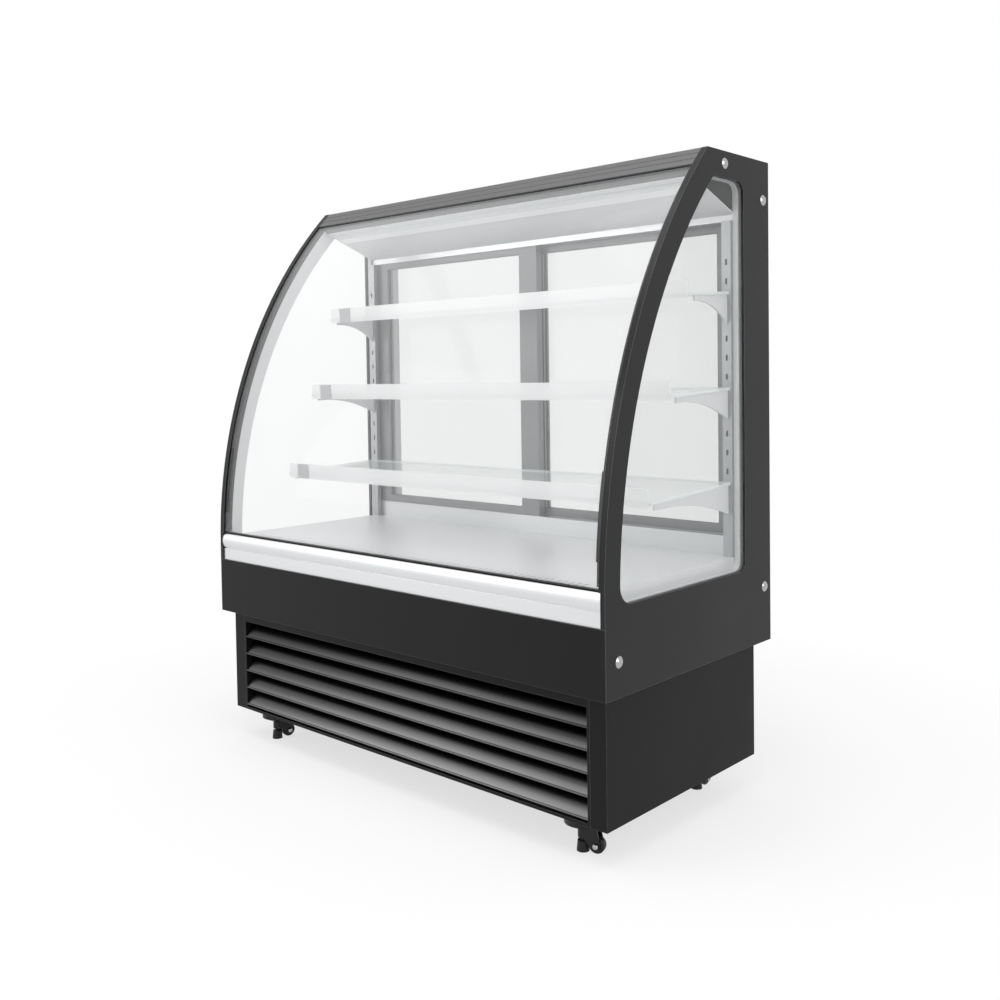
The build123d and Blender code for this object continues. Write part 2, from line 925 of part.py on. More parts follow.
def per_shelf(maker):
    """One piece for each shelf."""
    return group(maker(height, depth) for height, depth in zip(shelf_heights, shelf_depths))


def make_base_frame():
    """Floor pan with square tube posts and a ring of tubes that carries the tank."""
    inner_half = base_half - sheet
    y0 = base_front + sheet + frame_setback
    y1 = base_rear - sheet
    rail_low = base_top - frame_tube
    pan = box_between(-inner_half, inner_half, base_front + sheet, y1, base_bottom, base_floor)
    corners = [(x, y) for x in (-inner_half, inner_half - frame_tube)
               for y in (y0, y1 - frame_tube)]
    posts = [tube_z(x, y, base_floor, rail_low) for x, y in corners]
    long_tube = hollow(box_between(-inner_half, inner_half, y0, y0 + frame_tube, rail_low,
                                   base_top), "x")
    cross_tube = hollow(box_between(-inner_half, -inner_half + frame_tube, y0 + frame_tube,
                                    y1 - frame_tube, rail_low, base_top), "y")
    return group([pan] + posts + [
        long_tube,
        Pos(0, y1 - frame_tube - y0, 0) * long_tube,
        cross_tube,
        Pos(2 * inner_half - frame_tube, 0, 0) * cross_tube,
    ])


def tube_z(x, y, z0, z1):
    """Upright square tube with a corner at (x, y)."""
    return hollow(box_between(x, x + frame_tube, y, y + frame_tube, z0, z1), "z")


def hollow(block, axis):
    """Turn a block into a square tube that runs along one axis."""
    size = block.bounding_box().size
    middle = block.bounding_box().center()
    cut = {
        "x": (size.X, size.Y - 2 * frame_wall, size.Z - 2 * frame_wall),
        "y": (size.X - 2 * frame_wall, size.Y, size.Z - 2 * frame_wall),
        "z": (size.X - 2 * frame_wall, size.Y - 2 * frame_wall, size.Z),
    }[axis]
    return block - Pos(middle.X, middle.Y, middle.Z) * Box(*cut)


def make_base_covers():
    """Folded end covers of the base, with front and rear flanges."""
    z0, z1 = base_bottom, base_top
    cover = box_between(base_half - sheet, base_half, base_front, base_rear, z0, z1)
    cover += box_between(base_half - cover_flange, base_half, base_front, base_front + sheet,
                         z0, z1)
    cover += box_between(base_half - rear_flange, base_half, base_rear - sheet, base_rear, z0, z1)
    return both_ends(cover)


grille_half = base_half - cover_flange
blade_half = grille_half - grille_side_bar
blade_low = base_bottom + grille_foot + blade_foot_gap + blade_lip
blade_pitch = (base_top - grille_bar - blade_reveal - blade_low) / (blade_count - 1)


def make_blade(low):
    """One slanted louvre blade, with a rolled lip along its lower front edge."""
    y0 = base_front + blade_lip
    y1 = y0 + blade_reach
    z1 = low + blade_rise
    slope = atan2(blade_rise, blade_reach)
    dy = blade_thick * sin(slope)
    dz = blade_thick * cos(slope)
    face = make_face(Polyline(
        (y0, low),
        (y1, z1),
        (y1 + dy, z1 - dz),
        (y0 + dy, low - dz),
        close=True,
    ))
    return along_x(face, -blade_half, blade_half) + rod_x(blade_lip, -blade_half, blade_half, y0, low)


def make_front_grille():
    """Grille of the base: top bar, thin foot bar, two side bars and the louvre blades."""
    bar_low = base_top - grille_bar
    frame = box_between(-grille_half, grille_half, base_front, base_front + sheet, bar_low,
                        base_top)
    frame += box_between(-blade_half, blade_half, base_front, base_front + sheet, base_bottom,
                         base_bottom + grille_foot)
    for x0 in (-grille_half, blade_half):
        frame += box_between(x0, x0 + grille_side_bar, base_front + sheet,
                             base_front + grille_depth, base_floor, base_top - frame_tube)
        frame += box_between(x0, x0 + grille_side_bar, base_front, base_front + sheet,
                             base_bottom, bar_low)
    blades = [make_blade(blade_low + i * blade_pitch) for i in range(blade_count)]
    return group([frame] + blades)


service_half = base_half - rear_flange


def make_service_panel():
    """Slotted sheet that closes the rear of the base."""
    y0 = base_rear - sheet
    panel = box_between(-service_half, service_half, y0, base_rear, base_bottom, base_top)
    middle = (base_bottom + base_top) / 2
    step = vent_width + vent_gap
    vents = [Pos(column * step, y0 + sheet / 2, middle + (row - (vent_rows - 1) / 2) * vent_pitch)
             * Box(vent_width, sheet, vent_height)
             for column in (-1, 0, 1) for row in range(vent_rows)]
    return panel - group(vents) - rod_y(gland_thread, y0, base_rear, gland_x, gland_z)


def make_power_inlet():
    """Cable gland in the service panel, with its nut inside."""
    inside = base_rear - sheet
    gland = rod_y(gland_radius, base_rear, base_rear + gland_length, gland_x, gland_z)
    gland += rod_y(gland_thread, inside, base_rear, gland_x, gland_z)
    gland += rod_y(gland_radius, inside - gland_nut, inside, gland_x, gland_z)
    return gland - rod_y(gland_bore, inside - gland_nut, base_rear + gland_length, gland_x,
                         gland_z)


def finned_coil(x0, x1, y0, depth, z0, height, rows):
    """Heat exchanger: two end plates, a row of fins and straight tubes through them."""
    y1 = y0 + depth
    core = box_between(x0, x0 + coil_plate, y0, y1, z0, z0 + height)
    core += box_between(x1 - coil_plate, x1, y0, y1, z0, z0 + height)
    fin_low = z0 + coil_tube_radius * 2
    count = int((x1 - x0 - 2 * coil_plate) / fin_pitch) - 1
    first = (x0 + x1) / 2 - (count - 1) * fin_pitch / 2
    fin = Box(fin_thick, depth, height - coil_tube_radius * 2)
    middle_z = (fin_low + z0 + height) / 2
    fins = [Pos(first + i * fin_pitch, y0 + depth / 2, middle_z) * fin for i in range(count)]
    tubes = [rod_x(coil_tube_radius, x0 + coil_plate, x1 - coil_plate, y0 + depth * share,
                   fin_low + (height - coil_tube_radius * 2) * (row + 0.5) / rows)
             for row in range(rows) for share in (coil_tube_margin, 1 - coil_tube_margin)]
    return core.fuse(*tubes).fuse(*fins)


def make_evaporator():
    """Finned evaporator on the tank floor."""
    return finned_coil(evaporator_left, evaporator_right, evaporator_front, evaporator_depth,
                       tank_floor, evaporator_height, evaporator_tube_rows)


blower_z = tank_floor + blower_height


def make_blower_rotor():
    """Drum rotor of the evaporator blower on its shaft."""
    half = blower_length / 2
    rotor = rod_x(shaft_radius, -half - blower_end_gap - bearing_plate,
                  half + blower_end_gap + bearing_plate, blower_y, blower_z)
    for x in (-half, -bearing_plate / 2, half - bearing_plate):
        rotor += rod_x(blower_radius, x, x + bearing_plate, blower_y, blower_z)
    ring = blower_radius - blower_blade_width / 2 - blower_blade_thick
    blade = Pos(0, ring, 0) * Box(blower_length, blower_blade_width, blower_blade_thick)
    place = Pos(0, blower_y, blower_z)
    turns = [360 / blower_blades * i for i in range(blower_blades)]
    return rotor.fuse(*[place * Rot(turn, 0, 0) * blade for turn in turns])


def make_blower_cradle():
    """Cradle of the blower: base plate, bearing plates and motor."""
    half = blower_length / 2 + blower_end_gap
    reach = blower_radius + blower_end_gap
    outer = half + bearing_plate
    bore = shaft_radius + running_gap
    cradle = box_between(-outer, outer, blower_y - reach, blower_y + reach, tank_floor,
                         tank_floor + bearing_plate)
    for x0 in (-outer, half):
        cradle += box_between(x0, x0 + bearing_plate, blower_y - reach, blower_y + reach,
                              tank_floor + bearing_plate, blower_z + blower_radius)
    cradle += rod_x(fan_motor_radius, outer, outer + fan_motor_depth, blower_y, blower_z)
    return cradle - rod_x(bore, -outer, outer + running_gap * 2, blower_y, blower_z)


condenser_x = (condenser_left + condenser_right) / 2
fan_z = base_floor + condenser_height / 2
shroud_front = condenser_front + condenser_depth
shroud_rear = shroud_front + shroud_depth
fan_rear = shroud_rear - fan_setback


def make_condenser_coil():
    """Finned condenser behind the front grille."""
    return finned_coil(condenser_left, condenser_right, condenser_front, condenser_depth,
                       base_floor, condenser_height, condenser_tube_rows)


def make_condenser_shroud():
    """Fan shroud behind the condenser, with the motor on its cross bar."""
    top = base_floor + condenser_height
    shroud = box_between(condenser_left, condenser_right, shroud_front, shroud_rear, base_floor,
                         top)
    shroud -= box_between(condenser_left + sheet, condenser_right - sheet, shroud_front,
                          shroud_rear - sheet, base_floor + sheet, top - sheet)
    shroud -= rod_y(fan_radius + fan_tip_gap, shroud_rear - sheet, shroud_rear, condenser_x,
                    fan_z)
    shroud += box_between(condenser_x - motor_bar / 2, condenser_x + motor_bar / 2, shroud_rear,
                          shroud_rear + sheet, base_floor, top)
    shroud += rod_y(fan_motor_radius, shroud_rear + sheet, shroud_rear + sheet + fan_motor_depth,
                    condenser_x, fan_z)
    bore = shaft_radius + running_gap
    bore_end = shroud_rear + sheet + fan_motor_depth / 2 + motor_bore_end
    return shroud - rod_y(bore, shroud_rear, bore_end, condenser_x, fan_z)


def make_condenser_fan():
    """Fan of the condenser: hub, twisted blades and shaft."""
    hub_front = fan_rear - fan_hub_depth
    fan = rod_y(fan_hub_radius, hub_front, fan_rear, condenser_x, fan_z)
    fan += rod_y(shaft_radius, fan_rear, shroud_rear + sheet + fan_motor_depth / 2, condenser_x,
                 fan_z)
    length = fan_radius - fan_hub_radius + fan_blade_root
    blade = Rot(0, 0, fan_blade_twist) * Box(fan_blade_width, blade_thick, length)
    blade = Pos(0, 0, fan_radius - length / 2) * blade
    place = Pos(condenser_x, (hub_front + fan_rear) / 2, fan_z)
    turns = [360 / fan_blades * i for i in range(fan_blades)]
    rim = rod_y(fan_radius, hub_front, fan_rear, condenser_x, fan_z)
    return fan.fuse(*[(place * Rot(0, turn, 0) * blade) & rim for turn in turns])


compressor_base = base_floor + compressor_foot
stub_low = compressor_base + suction_stub_rise
stub_high = compressor_base + discharge_stub_rise


def make_compressor():
    """Hermetic compressor on four feet, with a domed top and two pipe stubs."""
    x, y = compressor_x, compressor_y
    top = compressor_base + compressor_height
    body = rod_z(compressor_radius, compressor_base, top, x, y)
    body = fillet(body.edges().group_by(Axis.Z)[-1], compressor_dome)
    side = compressor_foot_reach
    body += box_between(x - side, x + side, y - side, y + side, compressor_base,
                        compressor_base + sheet)
    for dx in (-side + compressor_foot, side - compressor_foot):
        for dy in (-side + compressor_foot, side - compressor_foot):
            body += rod_z(compressor_foot, base_floor, compressor_base, x + dx, y + dy)
    body += rod_x(pipe_radius, x, x + compressor_radius + pipe_stub, y, stub_high)
    return body + rod_x(pipe_radius, x - compressor_radius - pipe_stub, x, y, stub_low)


suction_x = compressor_x - compressor_radius - suction_offset
liquid_x = evaporator_right + liquid_offset
liquid_y = evaporator_front + liquid_setback
pipe_holes = ((suction_x, compressor_y), (liquid_x, liquid_y))


def pipe_along(points):
    """Copper pipe along straight runs joined by round bends."""
    path = FilletPolyline(*points, radius=pipe_bend)
    section = Plane(origin=path @ 0, z_dir=path % 0) * Circle(pipe_radius)
    return sweep(section, path=path)


def make_pipes():
    """Discharge, suction and liquid pipes between the compressor and the two coils."""
    entry_z = tank_floor + evaporator_height / 2
    coil_y = condenser_front + condenser_depth / 2
    discharge_x = compressor_x + compressor_radius + pipe_stub
    high = base_floor + condenser_inlet_rise
    low = base_floor + condenser_outlet_rise
    bend_x = (discharge_x + condenser_left) / 2
    discharge = pipe_along([
        (discharge_x, compressor_y, stub_high),
        (bend_x, compressor_y, stub_high),
        (bend_x, coil_y, high),
        (condenser_left, coil_y, high),
    ])
    suction = pipe_along([
        (compressor_x - compressor_radius - pipe_stub, compressor_y, stub_low),
        (suction_x, compressor_y, stub_low),
        (suction_x, compressor_y, entry_z),
        (evaporator_left, compressor_y, entry_z),
    ])
    liquid = pipe_along([
        (condenser_right, coil_y, low),
        (liquid_x, coil_y, low),
        (liquid_x, liquid_y, low),
        (liquid_x, liquid_y, entry_z),
        (evaporator_right, liquid_y, entry_z),
    ])
    return group([discharge, suction, liquid])


control_rear = tank_rear + control_depth
button_y = control_rear + button_stand
button_names = ("set", "up", "down")
button_places = [control_x - button_pitch * (1 - i) for i in range(len(button_names))]
rocker_x = control_x + control_width / 2 - rocker_width
rocker_y = control_rear - rocker_pin_depth
display_x = control_x - control_width / 2 + display_inset + display_width / 2


def make_control_panel():
    """Rear control housing with pockets for the buttons, the rocker and the display."""
    x0 = control_x - control_width / 2
    z0 = control_z - control_height / 2
    panel = box_between(x0, x0 + control_width, tank_rear, control_rear, z0, z0 + control_height)
    pocket_floor = button_y - button_depth - button_travel - button_gap
    for x in button_places:
        panel -= box_between(x - button_width / 2 - button_gap, x + button_width / 2 + button_gap,
                             pocket_floor, control_rear,
                             control_z - button_height / 2 - button_gap,
                             control_z + button_height / 2 + button_gap)
    half = rocker_width / 2 + button_gap
    panel -= box_between(rocker_x - half, rocker_x + half, tank_rear + control_wall, control_rear,
                         control_z - rocker_height / 2 - rocker_pocket_gap,
                         control_z + rocker_height / 2 + rocker_pocket_gap)
    bore = rocker_pin_radius + running_gap
    panel -= rod_x(bore, rocker_x - half - control_wall, rocker_x + half + control_wall,
                   rocker_y, control_z)
    return panel - box_between(display_x - display_width / 2, display_x + display_width / 2,
                               control_rear - display_recess, control_rear,
                               control_z - display_height / 2, control_z + display_height / 2)


def make_button(x):
    """One push button of the controller."""
    return box_between(x - button_width / 2, x + button_width / 2, button_y - button_depth,
                       button_y, control_z - button_height / 2, control_z + button_height / 2)


def make_rocker():
    """Lamp rocker switch, a shallow wedge on its own cross pin."""
    half_x = rocker_width / 2
    half_z = rocker_height / 2
    lean = half_z * sin(radians(rocker_swing))
    face = make_face(Polyline(
        (rocker_y - half_z / 3, control_z - half_z / 2),
        (control_rear + rocker_stand - lean, control_z - half_z),
        (control_rear + rocker_stand - lean * 2, control_z),
        (control_rear + rocker_stand - lean, control_z + half_z),
        (rocker_y - half_z / 3, control_z + half_z / 2),
        close=True,
    ))
    reach = half_x + button_gap + control_wall - running_gap
    return (along_x(face, rocker_x - half_x, rocker_x + half_x)
            + rod_x(rocker_pin_radius, rocker_x - reach, rocker_x + reach, rocker_y, control_z))


caster_x = half_length - caster_inset
caster_places = {
    "front_right": (caster_x, base_front + caster_front_setback),
    "front_left": (-caster_x, base_front + caster_front_setback),
    "rear_right": (caster_x, base_rear - caster_rear_setback),
    "rear_left": (-caster_x, base_rear - caster_rear_setback),
}
plate_bottom = caster_height - caster_plate_thick
swivel_top = plate_bottom - swivel_gap


def make_caster_plates():
    """Fixed top plates of the four casters, bolted under the floor pan."""
    plates = []
    for x, y in caster_places.values():
        plate = Pos(x, y, plate_bottom + caster_plate_thick / 2) * Box(
            caster_plate, caster_plate, caster_plate_thick)
        plates.append(plate - rod_z(kingpin_radius + running_gap, plate_bottom, caster_height,
                                    x, y))
    return group(plates)


def caster_frame(name):
    """Place and rest direction of one caster; its wheel trails along local +X."""
    x, y = caster_places[name]
    return Pos(x, y, 0) * Rot(0, 0, caster_angles[name])


def make_swivel(name):
    """Swivelling caster body: round head on its kingpin, collar for the foot, ears and axle."""
    ear_y = wheel_width / 2 + wheel_side_gap
    head_low = swivel_top - swivel_head
    body = rod_z(swivel_radius, head_low, swivel_top)
    body += rod_z(kingpin_radius, swivel_top, caster_height - swivel_gap)
    body += Pos(0, 0, head_low - swivel_taper / 2) * Cone(collar_radius, swivel_radius, swivel_taper)
    body += rod_z(collar_radius, collar_bottom, head_low - swivel_taper)
    for side in (-1, 1):
        y0, y1 = sorted((side * ear_y, side * (ear_y + ear_thick)))
        ear = Plane.XZ * make_face(Polyline(
            (0, head_low),
            (ear_top_reach, head_low),
            (wheel_trail + ear_radius, wheel_radius + ear_radius),
            (wheel_trail + ear_radius, wheel_radius - ear_radius),
            (wheel_trail - ear_radius, wheel_radius - ear_radius),
            (0, collar_bottom + ear_root),
            close=True,
        ))
        body += Pos(0, y1, 0) * extrude(ear, y1 - y0)
        head_inner = side * (ear_y + ear_thick)
        head_y0, head_y1 = sorted((head_inner, head_inner + side * axle_head))
        body += rod_y(axle_head_radius, head_y0, head_y1, wheel_trail, wheel_radius)
    body += rod_y(axle_radius, -ear_y, ear_y, wheel_trail, wheel_radius)
    body -= rod_z(foot_rod_radius + running_gap, collar_bottom, caster_height)
    return caster_frame(name) * body


def make_wheel(name):
    """Caster wheel with a rounded tread, turning on the axle."""
    tread = rod_y(wheel_radius, -wheel_width / 2, wheel_width / 2, wheel_trail, wheel_radius)
    tread = fillet(tread.edges(), wheel_tread_round)
    tread -= rod_y(axle_radius + running_gap, -wheel_width / 2, wheel_width / 2, wheel_trail,
                   wheel_radius)
    return caster_frame(name) * tread


def make_foot(name):
    """Levelling foot: a coned pad on a rod that screws into the caster body."""
    pad = Cone(foot_radius, foot_neck_radius, foot_height)
    pad = Pos(0, 0, foot_height / 2) * pad
    return caster_frame(name) * (pad + rod_z(foot_rod_radius, foot_height, foot_rod_top))


right_panel = make_side_panel()
parts = {
    "base_frame": make_base_frame(),
    "base_covers": make_base_covers(),
    "front_grille": make_front_grille(),
    "rear_service_panel": make_service_panel(),
    "power_inlet": make_power_inlet(),
    "front_fascia": make_fascia(),
    "bumper_rail": make_bumper(),
    "side_panel_right": right_panel,
    "side_panel_left": mirror(right_panel, about=Plane.YZ),
    "side_glass": make_side_glass(),
    "side_liners": make_side_liners(),
    "side_bolts": make_side_bolts(),
    "glass_seals": make_glass_seals(),
    "front_glass": make_front_glass(),
    "front_glass_rail": make_glass_rail(),
    "header_channel": make_header(),
    "top_panel": make_top_panel(),
    "canopy_liner": make_canopy(),
    "lamp_housing": make_lamp_housing(),
    "lamp_lens": make_lamp_lens(),
    "tank_shell": make_tank_shell(),
    "tank_foam": make_tank_foam(),
    "tank_liner": make_tank_liner(),
    "deck_panel": make_deck(),
    "door_tracks": make_door_tracks(),
    "door_left_frame": make_door_frame(door_left_x, door_inner_y, door_left_x + stile_width / 2),
    "door_left_glass": make_door_glass(door_left_x, door_inner_y),
    "door_right_frame": make_door_frame(door_right_x, door_outer_y,
                                        door_right_x + door_width - stile_width / 2),
    "door_right_glass": make_door_glass(door_right_x, door_outer_y),
    "shelf_standards": make_shelf_standards(),
    "shelf_brackets": make_shelf_brackets(),
    "glass_shelves": per_shelf(make_shelf_glass),
    "price_rails": per_shelf(make_price_rail),
    "price_tickets": per_shelf(make_ticket),
    "evaporator_coil": make_evaporator(),
    "blower_rotor": make_blower_rotor(),
    "blower_cradle": make_blower_cradle(),
    "condenser_coil": make_condenser_coil(),
    "condenser_shroud": make_condenser_shroud(),
    "condenser_fan": make_condenser_fan(),
    "compressor": make_compressor(),
    "refrigerant_pipes": make_pipes(),
    "control_panel": make_control_panel(),
    "lamp_rocker": make_rocker(),
    "caster_plates": make_caster_plates(),
}
for label, place in zip(button_names, button_places):
    parts["button_" + label] = make_button(place)
for corner in caster_places:
    parts["caster_body_" + corner] = make_swivel(corner)
    parts["caster_wheel_" + corner] = make_wheel(corner)
    parts["levelling_foot_" + corner] = make_foot(corner)

os.makedirs("parts", exist_ok=True)
for name, shape in parts.items():
    export_step(shape, f"parts/{name}.step")
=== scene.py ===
import json
import math

import bmesh
import bpy
from mathutils import Matrix, Vector


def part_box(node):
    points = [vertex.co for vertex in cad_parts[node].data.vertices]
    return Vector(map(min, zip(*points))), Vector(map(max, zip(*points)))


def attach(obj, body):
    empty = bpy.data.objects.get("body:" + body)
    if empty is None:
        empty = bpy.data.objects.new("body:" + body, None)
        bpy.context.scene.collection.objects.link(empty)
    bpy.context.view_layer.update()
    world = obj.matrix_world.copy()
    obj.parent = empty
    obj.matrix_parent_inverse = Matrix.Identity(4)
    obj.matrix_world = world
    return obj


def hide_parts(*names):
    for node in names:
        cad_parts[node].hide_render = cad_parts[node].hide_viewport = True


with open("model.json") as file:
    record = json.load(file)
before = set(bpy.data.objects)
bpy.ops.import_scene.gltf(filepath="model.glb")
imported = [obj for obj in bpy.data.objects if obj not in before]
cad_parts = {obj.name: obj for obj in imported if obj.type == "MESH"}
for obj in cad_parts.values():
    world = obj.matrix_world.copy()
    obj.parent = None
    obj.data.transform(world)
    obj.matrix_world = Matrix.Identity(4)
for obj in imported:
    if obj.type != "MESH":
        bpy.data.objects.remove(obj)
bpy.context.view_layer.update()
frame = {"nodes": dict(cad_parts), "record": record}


# Side panels: folded sheet steel with a fine satin powder coat in charcoal, the same
# inside and out. The coat has a slight orange peel; its eased edges carry a paler painted
# highlight.
def wire(tree, made, inputs):
    """Set each input of a node to a value, or link it to a source."""
    for socket, value in inputs.items():
        if isinstance(value, bpy.types.NodeSocket):
            tree.links.new(value, made.inputs[socket])
        else:
            made.inputs[socket].default_value = value
    return made


def node(tree, kind, inputs, operation=None):
    """Add a node and wire it up."""
    made = tree.nodes.new(kind)
    if operation:
        made.operation = operation
    return wire(tree, made, inputs)


def blend(tree, share, first, second):
    """Mix two colours by a share from 0 to 1."""
    made = tree.nodes.new("ShaderNodeMix")
    made.data_type = "RGBA"
    return wire(tree, made, {0: share, 6: first, 7: second}).outputs[2]


def coat(name, dark, light, roughness, metallic=0.0, drift=(9, 9, 9), relief=0.0,
         relief_size=1400, edge=0.0008, shine=0.5, varnish=0.0, edge_highlight=None):
    """A finish that wanders between two close tones, with fine relief, and a paler painted
    highlight on its eased edges when one is given.
    """
    material = bpy.data.materials.new(name)
    material.use_nodes = True
    tree = material.node_tree
    place = node(tree, "ShaderNodeTexCoord", {}).outputs["Object"]
    stretch = node(tree, "ShaderNodeMapping", {"Vector": place, "Scale": drift})
    cloud = node(tree, "ShaderNodeTexNoise", {"Vector": stretch.outputs["Vector"], "Scale": 1,
                                              "Detail": 5}).outputs["Fac"]
    tone = blend(tree, cloud, (*dark, 1), (*light, 1))
    rub = node(tree, "ShaderNodeMapRange", {"Value": cloud, "To Min": roughness * 0.85,
                                            "To Max": roughness * 1.15})
    eased = node(tree, "ShaderNodeBevel", {"Radius": edge})
    eased.samples = 4
    face = eased.outputs["Normal"]
    if edge_highlight:
        # Where the eased normal turns off the plain one, the coat takes a paler tone: a painted
        # edge highlight.
        plain = node(tree, "ShaderNodeNewGeometry", {}).outputs["Normal"]
        turn = node(tree, "ShaderNodeVectorMath", {0: plain, 1: face}, "DOT_PRODUCT")
        highlight_share = node(tree, "ShaderNodeMapRange", {"Value": turn.outputs["Value"],
                                                   "From Min": 0.995, "From Max": 0.86})
        tone = blend(tree, highlight_share.outputs["Result"], tone, (*edge_highlight, 1))
    if relief:
        grain = node(tree, "ShaderNodeTexNoise", {"Vector": place, "Scale": relief_size,
                                                  "Detail": 2})
        face = node(tree, "ShaderNodeBump", {"Height": grain.outputs["Fac"], "Normal": face,
                                             "Strength": relief,
                                             "Distance": 0.0004}).outputs["Normal"]
    wire(tree, tree.nodes["Principled BSDF"], {
        "Base Color": tone, "Roughness": rub.outputs["Result"], "Normal": face,
        "Metallic": metallic, "Specular IOR Level": shine, "Coat Weight": varnish,
        "Coat Roughness": 0.14})
    return material


def dress(material, *names):
    """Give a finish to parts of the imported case."""
    for name in names:
        for place in frame["nodes"][name].material_slots:
            place.link = "OBJECT"
            place.material = material


def merged(name):
    """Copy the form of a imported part, with its coincident points joined."""
    form = bmesh.new()
    form.from_mesh(frame["nodes"][name].data)
    bmesh.ops.remove_doubles(form, verts=form.verts, dist=0.00001)
    return form


def smooth_over(form):
    """Shade curves smooth, and leave turns of 30 degrees and more sharp."""
    for face in form.faces:
        face.smooth = True
        face.material_index = 0
    for edge in form.edges:
        edge.smooth = edge.calc_face_angle(math.pi) < math.radians(30)


def stand(form, name, material):
    """Turn a finished form into a piece of the scene."""
    shape = bpy.data.meshes.new(name + "_form")
    form.to_mesh(shape)
    form.free()
    shape.materials.append(material)
    piece = bpy.data.objects.new(name, shape)
    bpy.context.scene.collection.objects.link(piece)
    return piece


def seamless(material, *names):
    """Stand a merged copy, smooth over its curves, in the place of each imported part."""
    carriers = {part: body for body, parts in frame["record"]["behaviour"]["bodies"].items()
                for part in parts}
    for name in names:
        form = merged(name)
        smooth_over(form)
        piece = stand(form, name + "_finish", material)
        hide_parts(name)
        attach(piece, carriers[name])


# The paler edge tone given below is a painted highlight on the eased edges.
charcoal = coat("charcoal_powder_coat", (0.010, 0.010, 0.0105), (0.014, 0.014, 0.0145), 0.5,
                relief=0.12, relief_size=1800, edge=0.0015, shine=0.13, varnish=0.18,
                edge_highlight=(0.17, 0.17, 0.173))
seamless(charcoal, "side_panel_right", "side_panel_left")

# Front fascia: a flat folded sheet between the side panels, in the same black powder
# coat a shade darker and duller, with a paler painted highlight along its folds.
fascia_coat = coat("fascia_powder_coat", (0.007, 0.007, 0.0075), (0.010, 0.010, 0.0105), 0.5,
                   relief=0.1, relief_size=1800, edge=0.0015, shine=0.11, varnish=0.1,
                   edge_highlight=(0.12, 0.12, 0.122))
dress(fascia_coat, "front_fascia")

# Base: welded frame and folded end covers in a darker coat of the same black,
# with the slotted service panel screwed on at the rear.
# Its eased edges carry a paler painted highlight, given as the last tone below.
base_coat = coat("base_powder_coat", (0.006, 0.006, 0.0065), (0.009, 0.009, 0.0095), 0.5,
                 relief=0.12, relief_size=1800, edge=0.0015, shine=0.1, varnish=0.08,
                 edge_highlight=(0.10, 0.10, 0.102))
dress(base_coat, "base_covers", "rear_service_panel", "base_frame")

# Front grille: a welded frame of flat bars in the base's black coat, open between its side
# bars. Its louvre blades are made apart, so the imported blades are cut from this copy.
above_sill, below_head = 0.0835, 0.2915
grille = merged("front_grille")
packed_blades = [vert for vert in grille.verts if above_sill < vert.co.z < below_head]
bmesh.ops.delete(grille, geom=packed_blades, context="VERTS")
grille_bars = stand(grille, "front_grille_bars", base_coat)
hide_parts("front_grille")
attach(grille_bars, "cabinet")

# Louvre blades: five slats of roll-formed sheet, crowned towards the front, each with a
# rolled lip along its lower edge, in a semi-gloss black with painted shade: full tone on the
# lips, painted darker towards the top of each slat and towards the top of the grille.
blade_gloss = coat("louvre_gloss_black", (0.13, 0.13, 0.132), (0.16, 0.16, 0.162), 0.26,
                   metallic=0.95, drift=(2, 60, 60), edge=0.0006, shine=0.5)
blade_count = 5
blade_low = 0.088
blade_pitch = 0.04275
# The blade colour below is painted shade: darker up each slat from its lip, and darker towards
# the top of the grille.
shade_start = blade_low - 0.004
shade_tree = blade_gloss.node_tree
paint = shade_tree.nodes["Principled BSDF"]
unshaded_tone = paint.inputs["Base Color"].links[0].from_socket
height = node(shade_tree, "ShaderNodeSeparateXYZ", {
    "Vector": shade_tree.nodes["Texture Coordinate"].outputs["Object"]}).outputs["Z"]
rise = node(shade_tree, "ShaderNodeMapRange", {"Value": height, "From Min": shade_start,
                                              "From Max": shade_start + blade_pitch})
rise.clamp = False
along_slat = node(shade_tree, "ShaderNodeMath", {0: rise.outputs["Result"]}, "FRACT")
slat_shade = node(shade_tree, "ShaderNodeMapRange", {"Value": along_slat.outputs["Value"],
                                               "From Max": 0.8, "To Min": 1.0, "To Max": 0.07})
upper = node(shade_tree, "ShaderNodeMapRange", {"Value": height, "From Min": blade_low,
                                               "From Max": blade_low + blade_count * blade_pitch,
                                               "To Min": 1.0, "To Max": 0.3})
# The two painted shade shares are multiplied and scale the blade colour.
depth = node(shade_tree, "ShaderNodeMath", {0: slat_shade.outputs["Result"],
                                           1: upper.outputs["Result"]}, "MULTIPLY")
deepened = node(shade_tree, "ShaderNodeVectorMath", {0: unshaded_tone,
                                                    "Scale": depth.outputs["Value"]}, "SCALE")
wire(shade_tree, paint, {"Base Color": deepened.outputs["Vector"]})
blade_half = 0.537
blade_front = -0.272
blade_thick = 0.0015
lip_radius = 0.002
crown = 0.003
chord = Vector((0, 0.028, 0.032))
square = Vector((0, chord.z, -chord.y)).normalized()
bend_radius = chord.length ** 2 / (8 * crown) + crown / 2
bend = 2 * math.asin(chord.length / 2 / bend_radius)
